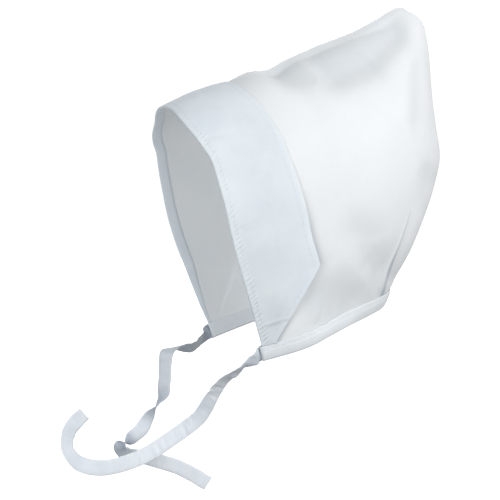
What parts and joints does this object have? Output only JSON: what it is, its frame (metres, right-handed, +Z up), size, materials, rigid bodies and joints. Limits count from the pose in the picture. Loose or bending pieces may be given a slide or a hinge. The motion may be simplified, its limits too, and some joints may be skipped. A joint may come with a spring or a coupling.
{
  "type": "linen coif",
  "caption": "Hood-shaped linen coif with a peaked back, a wide turned-back brim, a narrow neck band and two long flat ties.",
  "frame": {"origin": "the spot inside the crown that sits on top of the head, on the middle plane", "axes": "+Z up towards the ridge and the peak, -Y towards the face opening, +X towards the wearer's left"},
  "size_m": [0.1764, 0.3234, 0.3996],
  "materials": {
    "crown_linen": "matte plain-weave white linen",
    "brim_linen": "matte plain-weave white linen, doubled and pressed",
    "band_linen": "matte white linen strip, folded and stitched",
    "tie_linen": "matte white linen tape with fine cross creases"
  },
  "bodies": {
    "root": {"crown": "crown_linen", "brim": "brim_linen", "neck_band": "band_linen", "tie_left": "tie_linen", "tie_right": "tie_linen"}
  },
  "joints": []
}
